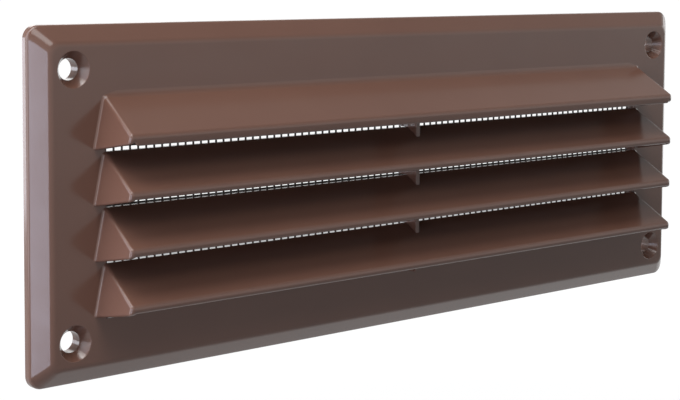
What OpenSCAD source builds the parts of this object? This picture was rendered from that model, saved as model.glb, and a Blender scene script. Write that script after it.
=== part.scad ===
// Louvred ventilation grille for wall mounting, with an insect net behind its slots.
// The wall is the plane y = 0, the face looks towards -y and +z is up.
// The origin is the middle of the back, between the four screw holes.

/* [Plate] */
// Width of the plate
plate_w = 250; // [246:1:320]
// Height of the plate
plate_h = 90; // [86:1:120]
// Depth from the wall to the face
plate_t = 5.7; // [5.2:0.1:8]
// Straight part of the edge, at the wall
edge_t = 2; // [1.6:0.1:2.4]
// Width of the bevel round the face
bevel_w = 4.6; // [2:0.1:5]
// Radius of the outer corners
corner_r = 3; // [1:0.1:4]
// Rounding between the edge and the bevel
bevel_round = 1; // [0.2:0.1:1.2]
// Thickness of the moulding behind the face and the bevel
skin_t = 2; // [1.5:0.1:2.4]
// Width of the rim that rests on the wall
rim_w = 2.2; // [1.5:0.1:3]

/* [Screw holes] */
// Distance between the holes, across
hole_dx = 228; // [226.5:0.5:231]
// Distance between the holes, up
hole_dz = 68; // [67:0.5:71]
// Diameter of the hole
hole_d = 5.5; // [4:0.1:6]
// Diameter of the countersink at the face
sink_d = 9.2; // [8:0.1:9.6]
// Length of the straight part of the hole
hole_straight = 2; // [1:0.1:3]
// Wall of the boss around the hole
boss_wall = 1.8; // [1.2:0.1:2]

/* [Louvre hoods] */
// Distance from one hood to the next
hood_pitch = 14.05; // [13.1:0.05:14.5]
// Height of the first hood's top edge above the middle
hood_top = 27.3; // [26:0.1:28]
// How far a hood reaches out of the face
hood_reach = 13.9; // [8:0.1:18]
// Height of a side cheek on the face
hood_h = 12.9; // [12:0.1:13.6]
// Slope of the blade, below level
blade_slope = 33; // [28:0.5:38]
// Thickness of the blade
blade_t = 2.2; // [1.4:0.1:2.4]
// Thickness of the side cheeks
cheek_t = 1.6; // [1.2:0.1:2]
// Length of a hood along its top edge
hood_top_len = 210.6; // [200:0.2:212]
// Length of a hood along the foot of its cheeks
hood_foot_len = 216.8; // [213:0.2:218]
// Length of a hood along its nose
hood_nose_len = 213.2; // [205:0.2:214]
// Rounding of a hood's outer edges
hood_round = 1; // [0.3:0.1:1.1]
// Radius of the hollow between the face and the first blade
root_r = 3; // [2:0.5:6]
// Distance from a slot's lower corners to the ends of the next hood's top edge
slot_short = 0.3; // [0.2:0.1:1]

/* [Centre rib] */
// Thickness of the centre rib
rib_t = 1.5; // [1:0.1:3]
// How far the rib reaches out of the face
rib_reach = 4; // [1:0.1:5]

/* [Insect net] */
// Distance from one strand to the next
net_pitch = 2.5; // [2:0.1:4]
// Thickness of a strand
strand_t = 0.6; // [0.4:0.05:0.7]
// Width of the sealed border
border_w = 1.4; // [1:0.1:2]
// How far the net laps over the edge of the slots
net_lap = 2.3; // [2:0.1:2.6]
// Depth from the wall to the front of the net
net_seat = 2.2; // [2.1:0.05:2.6]
// Diameter of a stake that holds the net
stake_d = 1.6; // [1.2:0.1:2]
// Diameter of the melted head on a stake
head_d = 3.6; // [3:0.1:4]
// Height of the melted head
head_t = 0.6; // [0.4:0.05:0.7]
// Gap between a stake and the border of the net
stake_gap = 0.15; // [0.1:0.05:0.3]

/* [Hidden] */
hood_count = 4;
stake_columns = [-0.8, -0.4, 0, 0.4, 0.8];
stake_rows = [-0.5, 0.5];
arc_steps = 5;
past = 5;

slope_run = tan(blade_slope);
blade_face = blade_t / cos(blade_slope);
nose_drop = hood_reach * slope_run;
nose_foot = nose_drop + blade_face;
lean = (hood_foot_len - hood_top_len) / 2 / hood_h;
draft = (hood_top_len / 2 + lean * nose_drop - hood_nose_len / 2) / hood_reach;
cheek_across = cheek_t * norm([1, draft, lean]);

bevel_rise = plate_t - edge_t;
cavity_t = plate_t - skin_t;
skin_across = skin_t * norm([bevel_w, bevel_rise]) / bevel_rise;
boss_d = hole_d + 2 * boss_wall;
sink_run = (sink_d - hole_d) / (plate_t - hole_straight);

slot_narrow = hood_top_len / 2 + lean * blade_face - cheek_across;
slot_wide = hood_top_len / 2 - slot_short;
slot_low = hood_top - hood_count * hood_pitch;
slot_high = hood_top - blade_face;
net_half = slot_wide + net_lap;
net_mid = (slot_low + slot_high) / 2;
net_high = (slot_high - slot_low) / 2 + net_lap;
stake_out = stake_gap + stake_d / 2;
seat_w = stake_out + head_d / 2;
net_back = net_seat - 2 * strand_t;

// Height of the top edge of hood i, counted from 1
function top_of(i) = hood_top - (i - 1) * hood_pitch;

// Points that round the corner p between a and b with radius r
function corner_arc(a, p, b, r) =
    let (
        u = (a - p) / norm(a - p),
        v = (b - p) / norm(b - p),
        half = acos(u * v) / 2,
        mid = p + (u + v) / norm(u + v) * r / sin(half),
        from = p + u * r / tan(half) - mid,
        start = atan2(from[1], from[0]),
        turn = sign(cross(u, v)) * (2 * half - 180)
    )
    [for (k = [0:arc_steps]) let (a = start + turn * k / arc_steps) mid + r * [cos(a), sin(a)]];

// A plane through a point: its unit normal, and its distance from the origin less an inset
function plane(normal, point, inset = 0) =
    [normal / norm(normal), normal * point / norm(normal) - inset];

// The point that lies r inside three planes
function meet(a, b, c, r = 0) =
    ((a[1] - r) * cross(b[0], c[0]) + (b[1] - r) * cross(c[0], a[0]) + (c[1] - r) * cross(a[0], b[0]))
        / (a[0] * cross(b[0], c[0]));

// Planes of hood i. side is 1 for the right cheek and -1 for the left one
function slope_plane(i, inset = 0) = plane([0, -slope_run, 1], [0, -plate_t, top_of(i)], inset);
function nose_plane() = plane([0, -1, 0], [0, -plate_t - hood_reach, 0]);
function foot_plane(i) =
    plane([0, nose_foot - hood_h, -hood_reach], [0, -plate_t, top_of(i) - hood_h]);
function cheek_plane(i, side, inset = 0) =
    plane([side, -draft, lean], [side * hood_top_len / 2, -plate_t, top_of(i)], inset);
function back_plane(depth) = plane([0, 1, 0], [0, -depth, 0]);
function low_plane(z) = plane([0, 0, -1], [0, 0, z]);

// Centres of the balls that round a hood at one side. The last two lie in the plate
function hood_corners(i, side) =
    let (
        top = slope_plane(i),
        nose = nose_plane(),
        foot = foot_plane(i),
        cheek = cheek_plane(i, side),
        back = back_plane(plate_t - 2 * hood_round)
    )
    [
        meet(top, nose, cheek, hood_round), meet(nose, foot, cheek, hood_round),
        meet(top, back, cheek, hood_round), meet(foot, back, cheek, hood_round)
    ];

// Corners of the hollow under a blade, at one side
function hollow_corners(i, side) =
    let (
        top = slope_plane(i, blade_t),
        cheek = cheek_plane(i, side, cheek_t),
        back = back_plane(plate_t - past),
        low = low_plane(top_of(i) - hood_h - past)
    )
    [meet(top, back, cheek), meet(back, low, cheek), meet(low, top, cheek)];

// Draws a flat shape of x and z as a solid between two depths from the wall
module deep(from, to) {
    translate([0, -from, 0]) rotate([90, 0, 0]) linear_extrude(to - from) children();
}

// Draws a flat shape of y and z as a solid of this length along x
module across(length) {
    translate([-length / 2, 0, 0]) rotate([90, 0, 90]) linear_extrude(length) children();
}

// Flat rectangle with round corners
module round_rectangle(w, h, r) {
    square([w - 2 * r, h], center = true);
    square([w, h - 2 * r], center = true);
    for (x = [-1, 1], z = [-1, 1]) translate([x * (w / 2 - r), z * (h / 2 - r)]) circle(r, $fn = 48);
}

// Long bar with the section of the plate's edge on both sides
module bevelled_bar(span, length, section) {
    right = [for (p = section) [span / 2 - p[0], -p[1]]];
    left = [for (k = [len(section) - 1:-1:0]) [section[k][0] - span / 2, -section[k][1]]];
    translate([0, 0, -length / 2]) linear_extrude(length) polygon(concat(right, left));
}

// Block whose four sides have this section and meet in mitres
module mitred_block(w, h, section) {
    intersection() {
        bevelled_bar(w, h + past, section);
        rotate([0, 90, 0]) bevelled_bar(h, w + past, section);
    }
}

// Section of the plate's edge: distance in from the outline, and depth
function outer_section() =
    let (foot = [0, edge_t], brow = [bevel_w, plate_t])
    concat([[0, 0]], corner_arc([0, 0], foot, brow, bevel_round), [brow]);
function cavity_section() =
    [
        [rim_w, -past],
        [rim_w, edge_t + (rim_w - skin_across) * bevel_rise / bevel_w],
        [skin_across + (cavity_t - edge_t) * bevel_w / bevel_rise, cavity_t]
    ];

module plate_shell() {
    difference() {
        intersection() {
            mitred_block(plate_w, plate_h, outer_section());
            deep(0, plate_t) round_rectangle(plate_w, plate_h, corner_r);
        }
        mitred_block(plate_w, plate_h, cavity_section());
    }
}

// Opening of hood i in the plate, from its blade down to the next hood
module slot(i) {
    top = top_of(i) - blade_face;
    low = top_of(i) - hood_pitch;
    polygon([[-slot_narrow, top], [slot_narrow, top], [slot_wide, low], [-slot_wide, low]]);
}

// Places its children at the four screw holes, with z as the depth from the wall
module at_holes() {
    for (x = [-1, 1], z = [-1, 1])
        translate([x * hole_dx / 2, 0, z * hole_dz / 2]) rotate([90, 0, 0]) children();
}

module screw_hole() {
    translate([0, 0, -past]) cylinder(d = hole_d, h = plate_t + past, $fn = 48);
    translate([0, 0, hole_straight])
        cylinder(d1 = hole_d, d2 = sink_d + sink_run, h = plate_t - hole_straight + 1, $fn = 48);
}

// Places its children just outside the border of the net, with z as the depth from the wall
module at_stakes() {
    for (side = [-1, 1]) {
        for (x = stake_columns)
            translate([x * net_half, 0, net_mid + side * (net_high + stake_out)])
                rotate([90, 0, 0]) children();
        for (z = stake_rows)
            translate([side * (net_half + stake_out), 0, net_mid + z * net_high])
                rotate([90, 0, 0]) children();
    }
}

module stake() {
    translate([0, 0, net_back]) cylinder(d = stake_d, h = cavity_t - net_back + skin_t / 2, $fn = 24);
    translate([0, 0, net_back - head_t]) cylinder(d1 = 0.6 * head_d, d2 = head_d, h = head_t, $fn = 24);
}

module front_plate() {
    color("#6b5449") {
        difference() {
            union() {
                plate_shell();
                deep(net_seat, plate_t - skin_t / 2)
                    translate([0, net_mid])
                        square(2 * [net_half + seat_w, net_high + seat_w], center = true);
                at_holes() cylinder(d = boss_d, h = plate_t - skin_t / 2, $fn = 48);
            }
            deep(-past, plate_t + past) for (i = [1:hood_count]) slot(i);
            at_holes() screw_hole();
        }
        at_stakes() stake();
    }
}

// Sloping blade with its rounded nose and two cheeks
module hood(i) {
    color("#7d6154") difference() {
        hull() for (side = [-1, 1], c = hood_corners(i, side)) translate(c) sphere(hood_round, $fn = 24);
        deep(plate_t - past, plate_t) square(2 * [plate_w, plate_h], center = true);
        hull() polyhedron(
            concat(hollow_corners(i, 1), hollow_corners(i, -1)),
            [[0, 1, 2], [5, 4, 3], [0, 3, 4, 1], [1, 4, 5, 2], [2, 5, 3, 0]]
        );
    }
}

// Hollow fillet that blends the face into the first blade
module root_fillet() {
    corner = [-plate_t, hood_top];
    down = [-cos(blade_slope), -sin(blade_slope)];
    bend = corner_arc(corner + [0, 1], corner, corner + down, root_r);
    inward = [sin(blade_slope), -cos(blade_slope)] * blade_t / 2;
    color("#7d6154") across(hood_top_len - 2 * hood_round)
        polygon(concat([corner - [0, blade_face / 2]], bend, [bend[arc_steps] + inward]));
}

// Upright rib that ties the blades together behind their noses
module centre_rib() {
    front = plate_t + rib_reach;
    color("#5a463d") for (i = [1:hood_count]) {
        low = top_of(i) - hood_pitch;
        high = top_of(i) - blade_face;
        low_front = i < hood_count ? low - rib_reach * slope_run : low;
        across(rib_t) polygon([
            [-net_seat, low], [-plate_t, low], [-front, low_front],
            [-front, high - rib_reach * slope_run], [-plate_t, high], [-net_seat, high]
        ]);
    }
}

// Front layer of the net: upright strands between two sealed edges
module net_uprights() {
    last = floor((net_half - border_w) / net_pitch);
    color("#4a4440") deep(net_seat - strand_t, net_seat) translate([0, net_mid]) {
        for (k = [-last:last])
            translate([k * net_pitch, 0]) square([strand_t, 2 * net_high], center = true);
        for (side = [-1, 1])
            translate([0, side * (net_high - border_w / 2)])
                square([2 * net_half, border_w], center = true);
    }
}

// Rear layer of the net: level strands between two sealed edges
module net_crossbars() {
    last = floor((net_high - border_w) / net_pitch - 0.5);
    color("#4a4440") deep(net_back, net_seat - strand_t) translate([0, net_mid]) {
        for (k = [-last - 1:last])
            translate([0, (k + 0.5) * net_pitch]) square([2 * net_half, strand_t], center = true);
        for (side = [-1, 1])
            translate([side * (net_half - border_w / 2), 0])
                square([border_w, 2 * net_high], center = true);
    }
}

front_plate();
union() {  // hood_1
    hood(1);
    root_fillet();
}
hood(2);  // hood_2
hood(3);  // hood_3
hood(4);  // hood_4
centre_rib();
net_uprights();
net_crossbars();
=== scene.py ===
import math
import random
import bmesh
import bpy
from mathutils import Matrix, Vector


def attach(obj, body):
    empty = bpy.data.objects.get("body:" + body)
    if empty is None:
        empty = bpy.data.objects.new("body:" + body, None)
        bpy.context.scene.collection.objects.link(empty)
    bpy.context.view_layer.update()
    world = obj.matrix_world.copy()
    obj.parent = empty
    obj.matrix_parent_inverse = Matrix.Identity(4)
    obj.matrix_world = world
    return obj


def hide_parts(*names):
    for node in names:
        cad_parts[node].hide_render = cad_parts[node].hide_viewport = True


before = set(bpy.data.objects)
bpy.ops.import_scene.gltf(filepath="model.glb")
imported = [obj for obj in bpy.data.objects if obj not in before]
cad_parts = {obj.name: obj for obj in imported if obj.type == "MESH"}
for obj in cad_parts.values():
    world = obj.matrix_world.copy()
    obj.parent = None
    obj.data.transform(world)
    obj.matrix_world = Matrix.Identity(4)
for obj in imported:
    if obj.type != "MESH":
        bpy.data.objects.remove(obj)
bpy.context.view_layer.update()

mm = 0.001
clear = 9  # mm in front of and behind the wall plane, where a tool that cuts right through ends
sharp = 0.3  # radians. An edge that bends more is rounded
# mm, for finding places: on rings close together, at the limit of a test, after several moves, and far apart
tight, margin, loose, coarse = 0.01, 0.05, 0.1, 1


# small tools, with all lengths and places in mm

def only(*pieces):
    bpy.ops.object.select_all(action="DESELECT")
    for piece in pieces:
        piece.select_set(True)
    bpy.context.view_layer.objects.active = pieces[0]


def settle(name):
    # names the active piece and puts its place and size into its mesh
    piece = bpy.context.object
    piece.name = piece.data.name = name
    only(piece)
    bpy.ops.object.transform_apply(location=True, rotation=True, scale=True)
    return piece


def block(name, low, high):
    low, high = Vector(low) * mm, Vector(high) * mm
    bpy.ops.mesh.primitive_cube_add(size=1, location=(low + high) / 2)
    bpy.context.object.scale = high - low
    return settle(name)


def roundBar(name, width, back, front, sides):
    bpy.ops.mesh.primitive_cylinder_add(
        vertices=sides, radius=width / 2 * mm, depth=(back - front) * mm,
        location=(0, (back + front) / 2 * mm, 0), rotation=(math.pi / 2, 0, 0),
    )
    return settle(name)


def startEdit(piece, kind):
    only(piece)
    bpy.ops.object.mode_set(mode="EDIT")
    bpy.ops.mesh.select_mode(type=kind)
    bpy.ops.mesh.select_all(action="DESELECT")


def stopEdit():
    bpy.ops.object.mode_set(mode="OBJECT")


def pick(piece, test, kind="VERT"):
    # selects points by their place, faces by their middle and normal,
    # and edges by their middle and bend, which is above zero where the edge sticks out
    bpy.ops.mesh.select_mode(type=kind)
    bpy.ops.mesh.select_all(action="DESELECT")
    shape = bmesh.from_edit_mesh(piece.data)
    if kind == "VERT":
        found = [v for v in shape.verts if test(v.co / mm)]
    elif kind == "FACE":
        found = [f for f in shape.faces if test(f.calc_center_median() / mm, f.normal)]
    else:
        found = [
            e for e in shape.edges if e.is_manifold
            and test((e.verts[0].co + e.verts[1].co) / 2 / mm, e.calc_face_angle_signed(0))
        ]
    for element in found:
        element.select_set(True)
    shape.select_flush_mode()
    bmesh.update_edit_mesh(piece.data)


def nudge(piece, test, move):
    pick(piece, test)
    bpy.ops.transform.translate(value=Vector(move) * mm)


def extrude(move):
    bpy.ops.mesh.extrude_region_move(TRANSFORM_OT_translate={"value": [way * mm for way in move]})


def slicePiece(axis, place):
    # divides all faces where a plane across the axis meets them
    normal = [0, 0, 0]
    normal[axis] = 1
    bpy.ops.mesh.select_all(action="SELECT")
    bpy.ops.mesh.bisect(plane_co=[way * place * mm for way in normal], plane_no=normal)


def useModifier(piece, kind, **settings):
    only(piece)
    modifier = piece.modifiers.new(kind.title(), kind)
    for key, value in settings.items():
        setattr(modifier, key, value)
    bpy.ops.object.modifier_apply(modifier=modifier.name)


def roundEdges(piece, segments, choices):
    # rounds each chosen edge by its own width, all in one bevel, so that the corners join up
    widest = max(width for width, test in choices)
    startEdit(piece, "EDGE")
    for width, test in choices:
        pick(piece, test, "EDGE")
        bpy.ops.transform.edge_bevelweight(value=width / widest)
    stopEdit()
    useModifier(
        piece, "BEVEL", width=widest * mm, segments=segments, limit_method="WEIGHT", use_clamp_overlap=False,
    )


def cut(piece, tool):
    useModifier(piece, "BOOLEAN", object=tool, operation="DIFFERENCE", solver="EXACT")
    bpy.data.objects.remove(tool)


def copyOf(piece, name, move):
    twin = piece.copy()
    twin.data = piece.data.copy()
    twin.name = twin.data.name = name
    bpy.context.scene.collection.objects.link(twin)
    twin.data.transform(Matrix.Translation(Vector(move) * mm))
    return twin


def join(*pieces):
    only(*pieces)
    bpy.ops.object.join()
    return bpy.context.object


def near(a, b, gap=0.02):
    return abs(a - b) < gap


def facesFront(normal):
    return normal.y < -0.9


# the plate's holes, slots and seat follow from the sizes of what goes there, so all these come first
plate = {
    "width": 250, "height": 90, "depth": 5.7, "edge": 2, "bevel": 4.6,
    "edgeRound": 0.6, "browRound": 0.9, "turnSteps": 4,
    # (distance in from the outline, radius of the corner there)
    "cornerRadii": [(0, 3.5), (1.6, 3), (6, 2.5)], "cornerSteps": 8,
    "skin": 2, "rim": 2.2,
}
holes = {
    "across": 228, "up": 68, "bore": 5.5, "sink": 9.2, "sinkDepth": 2.6,
    "bossWall": 1.8, "softEdge": 0.14, "sides": 64,
}
hood = {
    "count": 4, "pitch": 14.05, "top": 27.3, "reach": 13.9, "height": 13.5, "slope": 33,
    "bladeWall": 2.2, "cheekWall": 1.6, "topLength": 210.6, "footLength": 216.4, "noseLength": 213.2,
    # how far the foot of the nose sits back and down, and how far its outer corners are drawn in and up
    "noseTuck": 0.3, "noseSag": 0.4, "cornerIn": 0.4, "cornerUp": 0.95,
    "noseRound": 0.9, "footRound": 1, "cheekRound": 0.8, "tipRound": 1.5, "lowRound": 0.4, "roundSteps": 4,
    # the cheeks' fillet, with the distances of its rings from the face
    "footFillet": 0.55, "footRings": [0.12, 0.3],
    # the first blade's fillet, its rings as shares of its width, and how far in from the blade's ends
    # it is whole, with the rings on the way there
    "rootFillet": 2.2, "rootRings": [0.6, 0.8, 1], "rootFade": 4, "fadeRings": [0.8, 2.5],
    "slotShort": 0.3, "slotDraft": 0.08,
}
net = {
    "pitch": 2.5, "strand": 0.6, "strandLess": 0.02, "strandSides": 8, "strandShort": 0.5,
    "barsLow": 0.2, "border": 1.4, "borderEdge": 0.2, "lap": 2.3, "seat": 2.2,
}
stakes = {
    "width": 1.6, "gap": 0.15, "root": 3, "sides": 20, "head": 3.6, "headHeight": 0.6, "leastMelt": 0.92,
    # places along the net's long and short edges, as shares of half its width and half its height
    "across": (-0.8, -0.4, 0, 0.4, 0.8), "up": (-0.5, 0.5),
}

halfWidth, halfHeight = plate["width"] / 2, plate["height"] / 2
face = -plate["depth"]
bevelRise = plate["depth"] - plate["edge"]

halfTop = hood["topLength"] / 2
noseFace = face - hood["reach"]
slopeRun = math.tan(math.radians(hood["slope"]))
bladeFace = hood["bladeWall"] / math.cos(math.radians(hood["slope"]))
noseDrop = hood["reach"] * slopeRun
lean = (hood["footLength"] - hood["topLength"]) / 2 / hood["height"]
draft = (halfTop + lean * noseDrop - hood["noseLength"] / 2) / hood["reach"]
cheekAcross = hood["cheekWall"] * math.hypot(1, draft, lean)


def outerEnd(drop, out):
    # half the length of a hood, at a drop below its top edge and a distance out of the face
    return halfTop + lean * drop - draft * out


slotWide = halfTop - hood["slotShort"]
slotNarrow = outerEnd(bladeFace, 0) - cheekAcross
slotLow = hood["top"] - hood["count"] * hood["pitch"]
netMiddle = (slotLow + hood["top"] - bladeFace) / 2
netHalf = slotWide + net["lap"]
netHigh = (hood["top"] - bladeFace - slotLow) / 2 + net["lap"]
netBack = 2 * net["strand"] - net["seat"]
stakeOut = stakes["gap"] + stakes["width"] / 2


# front plate

def mitredBlock(name, back, brow, front, foot, crown):
    # a block from back to brow, then sloping sides up to the front. foot and crown are its half sizes
    piece = block(name, (-foot[0], brow, -foot[1]), (foot[0], back, foot[1]))
    startEdit(piece, "FACE")
    pick(piece, lambda p, n: facesFront(n), "FACE")
    extrude((0, front - brow, 0))
    bpy.ops.transform.resize(
        value=(crown[0] / foot[0], 1, crown[1] / foot[1]), center_override=(0, 0, 0)
    )
    stopEdit()
    return piece


def softTurn(before, turn, after, width):
    # points round a turn of the profile, from a width before it to a width after it
    before, turn, after = Vector(before), Vector(turn), Vector(after)
    start = turn + (before - turn).normalized() * width
    end = turn + (after - turn).normalized() * width
    ways = [k / plate["turnSteps"] for k in range(plate["turnSteps"] + 1)]
    return [start * (1 - u) ** 2 + turn * 2 * u * (1 - u) + end * u ** 2 for u in ways]


def cornerAt(inset):
    for (low, wide), (high, tight) in zip(plate["cornerRadii"], plate["cornerRadii"][1:]):
        if inset <= high:
            return wide + (tight - wide) * (inset - low) / (high - low)


# profile of the plate's edge: (distance in from the outline, depth in front of the wall)
outerTurn, browTurn = (0, plate["edge"]), (plate["bevel"], plate["depth"])
midway = plate["cornerRadii"][1][0] / plate["bevel"]
profile = softTurn((0, 0), outerTurn, browTurn, plate["edgeRound"])
profile.append(Vector(outerTurn).lerp(Vector(browTurn), midway))
profile += softTurn(outerTurn, browTurn, (2 * plate["bevel"], plate["depth"]), plate["browRound"])

firstDepth = profile[0].y
facePlate = block("facePlate", (-halfWidth, -firstDepth, -halfHeight), (halfWidth, 0, halfHeight))
startEdit(facePlate, "EDGE")
pick(facePlate, lambda p, bend: near(p.y, -firstDepth / 2), "EDGE")
bpy.ops.mesh.bevel(offset=cornerAt(0) * mm, segments=plate["cornerSteps"])
inset, depth = 0, firstDepth
for nextInset, nextDepth in profile[1:]:
    # the front goes forward one step, and each of its corners is drawn in and tightened
    pick(facePlate, lambda p, n: facesFront(n) and near(p.y, -depth), "FACE")
    extrude((0, depth - nextDepth, 0))
    radius, nextRadius = cornerAt(inset), cornerAt(nextInset)
    scale, move = nextRadius / radius, inset + radius - nextInset - nextRadius
    for x in (-1, 1):
        for z in (-1, 1):
            middle = (x * (halfWidth - inset - radius), -nextDepth, z * (halfHeight - inset - radius))
            pick(
                facePlate, lambda p: near(p.y, -nextDepth)
                and p.x * x > abs(middle[0]) - margin and p.z * z > abs(middle[2]) - margin,
            )
            bpy.ops.transform.resize(value=(scale, 1, scale), center_override=Vector(middle) * mm)
            bpy.ops.transform.translate(value=(x * move * mm, 0, z * move * mm))
    inset, depth = nextInset, nextDepth
stopEdit()

# the hollow back leaves a skin, the rim, the seat of the net and a boss round each screw hole
skinAcross = plate["skin"] * math.hypot(plate["bevel"], bevelRise) / bevelRise
cavityTop = plate["depth"] - plate["skin"]
cavityBrow = plate["edge"] + (plate["rim"] - skinAcross) * bevelRise / plate["bevel"]
cavityIn = skinAcross + (cavityTop - plate["edge"]) * plate["bevel"] / bevelRise
cavityBack = 5  # behind the wall plane, but short of the tools that cut the cavity
cavity = mitredBlock(
    "cavity", cavityBack, -cavityBrow, -cavityTop, (halfWidth - plate["rim"], halfHeight - plate["rim"]),
    (halfWidth - cavityIn, halfHeight - cavityIn),
)
seatWide = netHalf + stakeOut + stakes["head"] / 2
seatHigh = netHigh + stakeOut + stakes["head"] / 2
seat = block(
    "seat", (-seatWide, -clear, netMiddle - seatHigh), (seatWide, -net["seat"], netMiddle + seatHigh)
)
cut(cavity, seat)


def atHoles(piece):
    # four copies of a tool that was made at the middle of the plate
    tools = [
        copyOf(piece, piece.name, (x * holes["across"] / 2, 0, z * holes["up"] / 2))
        for x in (-1, 1) for z in (-1, 1)
    ]
    bpy.data.objects.remove(piece)
    return join(*tools)


bossWidth = holes["bore"] + 2 * holes["bossWall"]
cut(cavity, atHoles(roundBar("boss", bossWidth, clear, -clear, holes["sides"])))
cut(facePlate, cavity)

# the tool's flank goes on past the face, at the countersink's slope
sinkFoot, sinkPast = face + holes["sinkDepth"], 1
sinkRun = (holes["sink"] - holes["bore"]) / holes["sinkDepth"]
sinkScale = (holes["sink"] + sinkRun * sinkPast) / holes["bore"]
screwHole = roundBar("screwHole", holes["bore"], clear, sinkFoot, holes["sides"])
startEdit(screwHole, "FACE")
pick(screwHole, lambda p, n: facesFront(n), "FACE")
extrude((0, face - sinkPast - sinkFoot, 0))
bpy.ops.transform.resize(value=(sinkScale, 1, sinkScale), center_override=(0, 0, 0))
stopEdit()
cut(facePlate, atHoles(screwHole))
startEdit(facePlate, "EDGE")  # takes the sharpness off the rims of the countersinks
pick(facePlate, lambda p, bend: near(p.y, face) and bend > sharp, "EDGE")
bpy.ops.mesh.bevel(offset=holes["softEdge"] * mm, segments=2)
stopEdit()

slots = []
for i in range(hood["count"]):
    top = hood["top"] - i * hood["pitch"]
    low = top - hood["pitch"]
    slot = block("slot", (-slotNarrow, -clear, low), (slotNarrow, clear, top - bladeFace))
    startEdit(slot, "VERT")
    for side in (-1, 1):
        nudge(slot, lambda p: p.x * side > 0 and p.z < low + coarse, (side * (slotWide - slotNarrow), 0, 0))
    for y in (-clear, clear):
        # its floor falls a little towards the back, so that it leaves the mould
        nudge(slot, lambda p: near(p.y, y) and p.z < low + coarse, (0, 0, (face - y) * hood["slotDraft"]))
    stopEdit()
    slots.append(slot)
cut(facePlate, join(*slots))
print("front plate:", len(facePlate.data.polygons), "faces")


# louvre hoods. The first steps shape them in edit mode, starting from a slab between face and nose

def dropCheeks(piece, top):
    # the front of the blade comes down, its ends are split off, and the cheeks go down from them
    nudge(piece, lambda p: p.y < face - coarse, (0, 0, -noseDrop))
    for side in (-1, 1):
        slicePiece(0, side * (halfTop - cheekAcross))
    pick(piece, lambda p, n: n.z < -0.5 and abs(p.x) > halfTop - cheekAcross, "FACE")
    extrude((0, 0, bladeFace - hood["height"]))
    # a cheek is a triangle: its front corner goes back up to the foot of the nose
    foot = top - noseDrop - bladeFace
    nudge(piece, lambda p: p.y < face - coarse and p.z < foot - coarse, (0, 0, hood["height"] - bladeFace))
    bpy.ops.mesh.select_all(action="SELECT")
    bpy.ops.mesh.remove_doubles(threshold=tight * mm)


def leanEnds(piece, top):
    # both ends lean out towards the foot and in towards the nose
    for drop, out in ((0, hood["reach"]), (bladeFace, 0), (bladeFace, hood["reach"]), (hood["height"], 0)):
        z = top - drop - (noseDrop if out else 0)
        shift = outerEnd(top - z, out) - halfTop
        for side in (-1, 1):
            nudge(
                piece, lambda p: near(p.z, z, loose) and near(p.y, face - out, loose)
                and p.x * side > halfTop - 2 * cheekAcross,
                (side * shift, 0, 0),
            )


def spreadRoots(piece, top, rootFillet):
    # rings close to the face, which then spread into fillets
    radius, big, slope = hood["footFillet"], hood["rootFillet"], math.radians(hood["slope"])
    touch = big * (1 - math.sin(slope))  # where the root fillet runs into the blade
    middle = touch / math.cos(slope)  # height of its arc's middle over the top edge
    rings = hood["footRings"] + [radius]
    if rootFillet:
        for inset in hood["fadeRings"] + [hood["rootFade"]]:
            for side in (-1, 1):
                slicePiece(0, side * (halfTop - inset))
        rings = rings + [share * touch for share in hood["rootRings"]]
    for out in rings:
        slicePiece(1, face - out)
    for out in [0] + rings:
        spread = radius - math.sqrt(max(0, radius ** 2 - max(0, radius - out) ** 2))
        for side in (-1, 1):
            nudge(
                piece, lambda p: near(p.y, face - out, tight)
                and p.x * side > outerEnd(top - p.z, out) - margin,
                (side * spread, 0, 0),
            )
        rise = middle - math.sqrt(big ** 2 - (big - out) ** 2) + out * slopeRun if rootFillet else 0
        if rise <= 0:
            continue
        for inset in hood["fadeRings"] + [cheekAcross, hood["rootFade"], halfTop]:
            # the fillet dies away towards the ends of the blade
            nudge(
                piece, lambda p: near(p.y, face - out, tight) and p.z > top - out * slopeRun - margin
                and (near(halfTop - abs(p.x), inset, loose)
                     or inset == halfTop and halfTop - abs(p.x) > hood["rootFade"] + 2 * loose),
                (0, 0, rise * min(1, inset / hood["rootFade"])),
            )


def shapeNose(piece, top):
    # the foot of the nose sits further back and down than its top, and its ends stay in line with the cheeks
    tuck, sag, foot = hood["noseTuck"], hood["noseSag"], top - noseDrop - bladeFace
    for side in (-1, 1):
        nudge(
            piece, lambda p: near(p.y, noseFace) and near(p.z, foot, loose)
            and p.x * side > halfTop - 2 * cheekAcross,
            (side * (lean * sag + draft * tuck), 0, 0),
        )
    nudge(piece, lambda p: near(p.y, noseFace) and near(p.z, foot, loose), (0, tuck, -sag))
    for side in (-1, 1):
        # its outer corners are drawn in and up
        nudge(
            piece, lambda p: near(p.y, noseFace + tuck) and p.x * side > halfTop,
            (-side * hood["cornerIn"], 0, hood["cornerUp"]),
        )


def roundHood(piece, top):
    tuck, foot = hood["noseTuck"], noseFace + hood["noseTuck"]

    def outside(p, bend):
        return bend > sharp and p.y < face - tight

    def onBlade(p):
        return p.z > top - (face - p.y) * slopeRun - loose

    def atEnd(p):
        return near(p.y, noseFace + tuck / 2, loose) and abs(p.x) > halfTop - 2 * coarse

    roundEdges(piece, hood["roundSteps"], [
        (hood["cheekRound"], lambda p, bend: outside(p, bend) and onBlade(p) and p.y > noseFace + loose),
        (hood["lowRound"], lambda p, bend: outside(p, bend) and not onBlade(p) and p.y > foot + loose),
        (hood["tipRound"], lambda p, bend: outside(p, bend) and atEnd(p)),
        (hood["noseRound"], lambda p, bend: outside(p, bend) and near(p.y, noseFace)),
        (hood["footRound"], lambda p, bend: outside(p, bend) and near(p.y, foot)),
    ])
    startEdit(piece, "FACE")
    bpy.ops.mesh.select_all(action="SELECT")
    bpy.ops.mesh.normals_make_consistent(inside=False)
    stopEdit()


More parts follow.
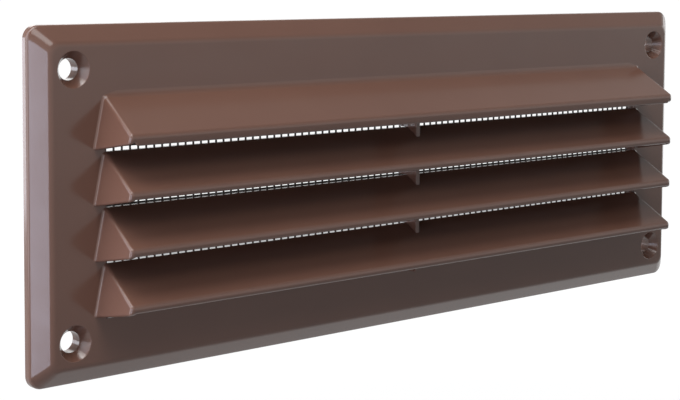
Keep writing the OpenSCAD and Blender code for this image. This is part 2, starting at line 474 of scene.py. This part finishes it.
def shapeHood(name, top, rootFillet):
    piece = block(name, (-halfTop, noseFace, top - bladeFace), (halfTop, face, top))
    startEdit(piece, "VERT")
    dropCheeks(piece, top)
    leanEnds(piece, top)
    spreadRoots(piece, top, rootFillet)
    shapeNose(piece, top)
    stopEdit()
    roundHood(piece, top)
    return piece


hoods = [shapeHood("hood1", hood["top"], True)]
plainHood = shapeHood("hood2", hood["top"] - hood["pitch"], False)
hoods.append(plainHood)
for i in range(2, hood["count"]):
    hoods.append(copyOf(plainHood, f"hood{i + 1}", (0, 0, -(i - 1) * hood["pitch"])))
print("hoods:", [len(h.data.polygons) for h in hoods], "faces")


# centre rib, one step between each blade and the next

rib = {"wall": 1.5, "reach": 4, "softEdge": 0.2}
steps = []
for i in range(hood["count"]):
    top = hood["top"] - i * hood["pitch"]
    low, high = top - hood["pitch"], top - bladeFace
    step = block(
        "centreRib", (-rib["wall"] / 2, face - rib["reach"], low), (rib["wall"] / 2, -net["seat"], high)
    )
    startEdit(step, "VERT")
    slicePiece(1, face)
    # its front slopes with the blades, apart from the foot of the last step, which has no blade under it
    nudge(step, lambda p: p.y < face - coarse and p.z > low + coarse, (0, 0, -rib["reach"] * slopeRun))
    if i < hood["count"] - 1:
        nudge(step, lambda p: p.y < face - coarse and p.z < low + coarse, (0, 0, -rib["reach"] * slopeRun))
    pick(step, lambda p, bend: bend > sharp and p.y < face - coarse and abs(p.x) > loose, "EDGE")
    bpy.ops.mesh.bevel(offset=rib["softEdge"] * mm, segments=2)
    stopEdit()
    steps.append(step)
centreRib = join(*steps)
print("centre rib:", len(centreRib.data.polygons), "faces")


# insect net

def strandRow(name, length, upright, places, depth):
    # one round strand, then its copies side by side
    bpy.ops.mesh.primitive_cylinder_add(
        vertices=net["strandSides"], radius=(net["strand"] / 2 - net["strandLess"]) * mm, depth=length * mm,
        rotation=(0, 0, 0) if upright else (0, math.pi / 2, 0), location=(0, depth * mm, netMiddle * mm),
    )
    strand = settle(name)
    copies = [copyOf(strand, name, (p, 0, 0) if upright else (0, 0, p)) for p in places]
    bpy.data.objects.remove(strand)
    row = join(*copies)
    row.name = row.data.name = name
    return row


lastUpright = int((netHalf - net["border"]) // net["pitch"])
lastBar = int((netHigh - net["border"]) / net["pitch"] - 0.5)
netUprights = strandRow(
    "netUprights", 2 * (netHigh - net["strandShort"]), True,
    [k * net["pitch"] for k in range(-lastUpright, lastUpright + 1)],
    net["strand"] / 2 - net["seat"],
)
netCrossbars = strandRow(
    "netCrossbars", 2 * (netHalf - net["strandShort"]), False,
    [(k + 0.5) * net["pitch"] - net["barsLow"] for k in range(-lastBar - 1, lastBar + 1)],
    1.5 * net["strand"] - net["seat"],
)
netBorder = block(
    "netBorder", (-netHalf, -net["seat"], netMiddle - netHigh), (netHalf, netBack, netMiddle + netHigh)
)
window = block(
    "window", (net["border"] - netHalf, -clear, netMiddle - netHigh + net["border"]),
    (netHalf - net["border"], clear, netMiddle + netHigh - net["border"]),
)
cut(netBorder, window)
useModifier(netBorder, "BEVEL", width=net["borderEdge"] * mm, segments=2, limit_method="ANGLE")
print("net:", len(netUprights.data.polygons) + len(netCrossbars.data.polygons), "faces")


# stakes with melted heads, all round the net

random.seed(4)
places = [(x * netHalf, side * (netHigh + stakeOut)) for side in (-1, 1) for x in stakes["across"]]
places += [(side * (netHalf + stakeOut), z * netHigh) for side in (-1, 1) for z in stakes["up"]]
pins = []
for x, z in places:
    pin = roundBar("pin", stakes["width"], netBack, -stakes["root"], stakes["sides"])
    bpy.ops.mesh.primitive_uv_sphere_add(
        segments=stakes["sides"], ring_count=stakes["sides"] // 2, radius=stakes["head"] / 2 * mm,
    )
    head = settle("head")
    startEdit(head, "VERT")
    bpy.ops.mesh.select_all(action="SELECT")
    bpy.ops.mesh.bisect(plane_co=(0, 0, 0), plane_no=(0, 1, 0), clear_inner=True, use_fill=True)
    stopEdit()
    squeeze = random.uniform(stakes["leastMelt"], 1)  # no two melt quite alike
    head.scale = (squeeze, stakes["headHeight"] / stakes["head"] * 2, random.uniform(stakes["leastMelt"], 1))
    head.location = (0, netBack * mm, 0)
    stake = join(pin, settle("head"))
    stake.data.transform(Matrix.Translation(Vector((x, 0, netMiddle + z)) * mm))
    pins.append(stake)
netStakes = join(*pins)
netStakes.name = netStakes.data.name = "netStakes"
print("stakes:", len(places))


# materials

def fromHex(code):
    # sRGB hex to the linear colour that shaders want
    parts = [int(code[i:i + 2], 16) / 255 for i in (1, 3, 5)]
    return tuple(c / 12.92 if c <= 0.04045 else ((c + 0.055) / 1.055) ** 2.4 for c in parts) + (1,)


def grey(level):
    return (level, level, level, 1)


def ramp(low, high):
    # settings that turn an input, from one (input, result) to the other
    return {1: low[0], 2: high[0], 3: low[1], 4: high[1]}


def addNode(tree, kind, settings=None, links=None):
    node = tree.nodes.new(kind)
    for key, value in (settings or {}).items():
        if isinstance(key, str) and hasattr(node, key):
            setattr(node, key, value)
        else:
            node.inputs[key].default_value = value
    for key, source in (links or {}).items():
        tree.links.new(source, node.inputs[key])
    return node


def emptyMaterial(name):
    made = bpy.data.materials.new(name)
    made.use_nodes = True
    made.node_tree.nodes.clear()
    return made, made.node_tree


# satin moulded ABS: even brown, soft reflections that a fine grain breaks up a little. Sizes in mm
mouldedFinish = {
    "pale": "#715144", "deep": "#68493d", "cloud": 30,
    "smooth": 0.14, "rough": 0.2, "flow": 6, "flowLength": 20, "flowSpread": (0.3, 0.7), "ior": 1.53,
    "grain": 0.6, "grainHeight": 0.1, "grainStrength": 0.07,
}


def mouldedAbs(finish):
    made, tree = emptyMaterial("mouldedAbs")
    place = addNode(tree, "ShaderNodeTexCoord").outputs["Object"]
    cloud = addNode(
        tree, "ShaderNodeTexNoise", {"Scale": 1 / (finish["cloud"] * mm), "Detail": 2.0}, {"Vector": place},
    )
    colour = addNode(
        tree, "ShaderNodeMix", {"data_type": "RGBA", 6: fromHex(finish["deep"]), 7: fromHex(finish["pale"])},
        {0: cloud.outputs["Fac"]},
    )
    # the flow of the melt leaves long, faint changes of gloss along the plate
    drawn = finish["flow"] / finish["flowLength"]
    along = addNode(tree, "ShaderNodeMapping", {"Scale": (drawn, 1, 1)}, {"Vector": place})
    flow = addNode(
        tree, "ShaderNodeTexNoise", {"Scale": 1 / (finish["flow"] * mm), "Detail": 3.0},
        {"Vector": along.outputs[0]},
    )
    least, most = finish["flowSpread"]
    gloss = addNode(
        tree, "ShaderNodeMapRange", ramp((least, finish["smooth"]), (most, finish["rough"])),
        {0: flow.outputs["Fac"]},
    )
    # the mould's own grain is finer than a pixel, so it is drawn this coarse to show at all
    grain = addNode(
        tree, "ShaderNodeTexNoise", {"Scale": 1 / (finish["grain"] * mm), "Detail": 3.0}, {"Vector": place},
    )
    bump = addNode(
        tree, "ShaderNodeBump",
        {"Strength": finish["grainStrength"], "Distance": finish["grainHeight"] * mm},
        {"Height": grain.outputs["Fac"]},
    )
    shader = addNode(
        tree, "ShaderNodeBsdfPrincipled", {"IOR": finish["ior"]},
        {"Base Color": colour.outputs[2], "Roughness": gloss.outputs[0], "Normal": bump.outputs["Normal"]},
    )
    addNode(tree, "ShaderNodeOutputMaterial", links={"Surface": shader.outputs["BSDF"]})
    return made


# drawn and welded plastic strands: dark, and duller where the welding heat has been. Sizes in mm
weldedFinish = {
    "pale": "#4f4a45", "deep": "#393531", "patch": 4, "smooth": 0.38, "rough": 0.6, "ior": 1.5,
    "grain": 0.2, "grainHeight": 0.05, "grainStrength": 0.2,
}


def weldedNet(finish):
    made, tree = emptyMaterial("weldedNetPlastic")
    place = addNode(tree, "ShaderNodeTexCoord").outputs["Object"]
    patches = addNode(
        tree, "ShaderNodeTexNoise", {"Scale": 1 / (finish["patch"] * mm), "Detail": 2.0}, {"Vector": place},
    )
    colour = addNode(
        tree, "ShaderNodeMix", {"data_type": "RGBA", 6: fromHex(finish["deep"]), 7: fromHex(finish["pale"])},
        {0: patches.outputs["Fac"]},
    )
    gloss = addNode(
        tree, "ShaderNodeMapRange", ramp((0, finish["smooth"]), (1, finish["rough"])),
        {0: patches.outputs["Fac"]},
    )
    grain = addNode(
        tree, "ShaderNodeTexNoise", {"Scale": 1 / (finish["grain"] * mm), "Detail": 2.0}, {"Vector": place},
    )
    bump = addNode(
        tree, "ShaderNodeBump",
        {"Strength": finish["grainStrength"], "Distance": finish["grainHeight"] * mm},
        {"Height": grain.outputs["Fac"]},
    )
    shader = addNode(
        tree, "ShaderNodeBsdfPrincipled", {"IOR": finish["ior"]},
        {"Base Color": colour.outputs[2], "Roughness": gloss.outputs[0], "Normal": bump.outputs["Normal"]},
    )
    addNode(tree, "ShaderNodeOutputMaterial", links={"Surface": shader.outputs["BSDF"]})
    return made


brownAbs = mouldedAbs(mouldedFinish)
netPlastic = weldedNet(weldedFinish)

# the CAD nodes that each piece stands for, and the slot of its finish
standsFor = {
    facePlate: (["front_plate"], "plate_plastic"),
    hoods[0]: (["hood_1"], "hood_plastic"),
    hoods[1]: (["hood_2"], "hood_plastic"),
    hoods[2]: (["hood_3"], "hood_plastic"),
    hoods[3]: (["hood_4"], "hood_plastic"),
    centreRib: (["centre_rib"], "hood_plastic"),
    netUprights: (["net_uprights"], "net_plastic"),
    netCrossbars: (["net_crossbars"], "net_plastic"),
    netBorder: (["net_uprights", "net_crossbars"], "net_plastic"),
    netStakes: (["front_plate"], "plate_plastic"),
}
smoothUpTo = 32  # degrees. A sharper edge stays an edge in the shading
for piece, (nodes, slotName) in standsFor.items():
    only(piece)
    bpy.ops.object.shade_smooth_by_angle(angle=math.radians(smoothUpTo))
    useModifier(piece, "WEIGHTED_NORMAL", keep_sharp=True, weight=80)
    piece.data.materials.clear()
    piece.data.materials.append(netPlastic if slotName == "net_plastic" else brownAbs)
    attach(piece, "root")
    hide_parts(*nodes)
print("materials:", len(standsFor), "pieces dressed")


# floor, light and camera

studio = {
    "floor": -200, "floorWidth": 80000,
    "ambient": 0.14,
    # how bright the room over the object looks in its gloss, where 1 is the white round it,
    # and the heights of a direction, from 0 level to 1 upright, between which it gets there
    "ceiling": 0.27, "ceilingFrom": 0.2, "ceilingTo": 0.7,
    # (distance from the object in m, how white the paper is there without the lamps)
    "paperClose": (0.3, 0.86), "paperFar": (1.1, 1.0),
    # (place along Y in m, how bright gloss shows the paper there), close by and further out in front
    "glossClose": [(-0.12, 0.4), (-0.04, 1.0)], "glossFar": [(-0.6, 0.45), (-3.0, 1.0)],
    "paperBounce": 0.2,  # sends little light up at the object
    "paperShade": 0.14,  # what the lamps add to the paper, and a soft shadow takes away
    "lamps": [
        # name, heading from the front to the right, height, distance, width, height, radiance, colour
        ("keyBox", -75, 64, 0.9, 0.45, 0.45, 6.2, "#ffffff"),
        ("overheadBox", -45, 80, 0.9, 0.45, 0.45, 3.0, "#ffffff"),
        ("frontBox", -20, 45, 0.9, 0.35, 0.35, 4.0, "#ffffff"),
        ("leftBox", -58, -6, 0.63, 0.17, 0.28, 5.4, "#dfe8ff"),
        ("sideBox", -98, 20, 0.66, 0.6, 0.78, 2.9, "#eef3ff"),
        ("backLeftBox", -149, 0.5, 0.66, 0.3, 0.2, 5.5, "#f0f4ff"),
        ("backBox", 160, 30, 1.2, 0.6, 0.6, 2.0, "#ffffff"),
        ("rightBox", 84, 4, 0.9, 0.5, 0.34, 1.8, "#ffffff"),
    ],
}

bpy.ops.mesh.primitive_plane_add(size=studio["floorWidth"] * mm, location=(0, 0, studio["floor"] * mm))
floor = settle("floor")


def seenRays(tree):
    # the Light Path outputs, and 1 for what the camera sees, also by way of gloss or through glass
    ray = addNode(tree, "ShaderNodeLightPath").outputs
    add = {"operation": "ADD", "use_clamp": True}
    seen = addNode(tree, "ShaderNodeMath", add, {0: ray["Is Camera Ray"], 1: ray["Is Glossy Ray"]})
    seen = addNode(tree, "ShaderNodeMath", add, {0: seen.outputs[0], 1: ray["Is Transmission Ray"]})
    return ray, seen


# white paper: close to the object it needs the lamps to look white, so it keeps a soft shadow
floorMaterial, tree = emptyMaterial("whitePaper")
ray, seen = seenRays(tree)
place = addNode(tree, "ShaderNodeTexCoord").outputs["Object"]
away = addNode(tree, "ShaderNodeVectorMath", {"operation": "LENGTH"}, {0: place})
glowLevel = addNode(
    tree, "ShaderNodeMapRange",
    {"interpolation_type": "SMOOTHSTEP", **ramp(studio["paperClose"], studio["paperFar"])},
    {0: away.outputs["Value"]},
)
# gloss shows the paper white close by and far off, and greyer in front,
# where the camera's side of the room shades it
axes = addNode(tree, "ShaderNodeSeparateXYZ", links={0: place})
close = addNode(tree, "ShaderNodeMapRange", ramp(*studio["glossClose"]), {0: axes.outputs[1]})
far = addNode(tree, "ShaderNodeMapRange", ramp(*studio["glossFar"]), {0: axes.outputs[1]})
most = {"operation": "MAXIMUM"}
shown = addNode(tree, "ShaderNodeMath", most, {0: close.outputs[0], 1: far.outputs[0]})
shown = addNode(tree, "ShaderNodeMath", most, {0: shown.outputs[0], 1: ray["Is Camera Ray"]})
glowLevel = addNode(
    tree, "ShaderNodeMath", {"operation": "MULTIPLY"}, {0: glowLevel.outputs[0], 1: shown.outputs[0]},
)
glow = addNode(tree, "ShaderNodeEmission", {"Color": grey(1)}, {"Strength": glowLevel.outputs[0]})
shade = addNode(tree, "ShaderNodeBsdfDiffuse", {"Color": grey(studio["paperShade"])})
lit = addNode(tree, "ShaderNodeAddShader", links={0: shade.outputs[0], 1: glow.outputs[0]})
bounce = addNode(tree, "ShaderNodeBsdfDiffuse", {"Color": grey(studio["paperBounce"])})
paper = addNode(
    tree, "ShaderNodeMixShader", links={0: seen.outputs[0], 1: bounce.outputs[0], 2: lit.outputs[0]},
)
addNode(tree, "ShaderNodeOutputMaterial", links={"Surface": paper.outputs[0]})
floor.data.materials.append(floorMaterial)

# the room: white to the camera, darker overhead in gloss, and weak as a light on the object
world = bpy.data.worlds.new("studio")
bpy.context.scene.world = world
world.use_nodes = True
tree = world.node_tree
tree.nodes.clear()
ray, seen = seenRays(tree)
towards = addNode(tree, "ShaderNodeTexCoord").outputs["Generated"]
axes = addNode(tree, "ShaderNodeSeparateXYZ", links={0: towards})
level = addNode(
    tree, "ShaderNodeMapRange", ramp((studio["ceilingFrom"], 1.0), (studio["ceilingTo"], studio["ceiling"])),
    {0: axes.outputs[2]},
)
level = addNode(tree, "ShaderNodeMath", most, {0: level.outputs[0], 1: ray["Is Camera Ray"]})
white = addNode(tree, "ShaderNodeBackground", {"Color": grey(1)}, {"Strength": level.outputs[0]})
ambient = addNode(tree, "ShaderNodeBackground", {"Color": grey(1), "Strength": studio["ambient"]})
room = addNode(
    tree, "ShaderNodeMixShader", links={0: seen.outputs[0], 1: ambient.outputs[0], 2: white.outputs[0]},
)
addNode(tree, "ShaderNodeOutputWorld", links={"Surface": room.outputs[0]})

for name, heading, height, distance, width, tall, radiance, colour in studio["lamps"]:
    lamp = bpy.data.lights.new(name, "AREA")
    lamp.shape, lamp.size, lamp.size_y = "RECTANGLE", width, tall
    # a flat lamp sends out pi times its area times its radiance
    lamp.energy, lamp.color = math.pi * width * tall * radiance, fromHex(colour)[:3]
    box = bpy.data.objects.new(name, lamp)
    bpy.context.scene.collection.objects.link(box)
    a, e = math.radians(heading), math.radians(height)
    towards = Vector((math.sin(a) * math.cos(e), -math.cos(a) * math.cos(e), math.sin(e)))
    box.location = towards * distance
    box.rotation_euler = towards.to_track_quat("Z", "Y").to_euler()

view = {
    "yaw": 41.597, "pitch": 4.321, "roll": 0.298, "place": (-332.608, -350.087, 58.923),
    "focalPixels": 1649.1, "axisRow": 93.6, "pixels": (680, 400), "sensor": 36, "clip": (0.01, 50),
}
lens = bpy.data.cameras.new("photoLens")
lens.sensor_fit, lens.sensor_width = "HORIZONTAL", view["sensor"]
lens.lens = view["focalPixels"] / view["pixels"][0] * view["sensor"]
lens.shift_y = (view["axisRow"] - view["pixels"][1] / 2) / view["pixels"][0]
lens.clip_start, lens.clip_end = view["clip"]
lens.dof.use_dof = False
camera = bpy.data.objects.new("photoCamera", lens)
bpy.context.scene.collection.objects.link(camera)
turn = (
    Matrix.Rotation(-math.radians(view["yaw"]), 4, "Z")
    @ Matrix.Rotation(math.radians(90 - view["pitch"]), 4, "X")
    @ Matrix.Rotation(math.radians(view["roll"]), 4, "Z")
)
camera.matrix_world = Matrix.Translation(Vector(view["place"]) * mm) @ turn
bpy.context.scene.camera = camera
bpy.context.scene.view_settings.view_transform = "Standard"
print("floor, light and camera:", len(studio["lamps"]), "lamps")
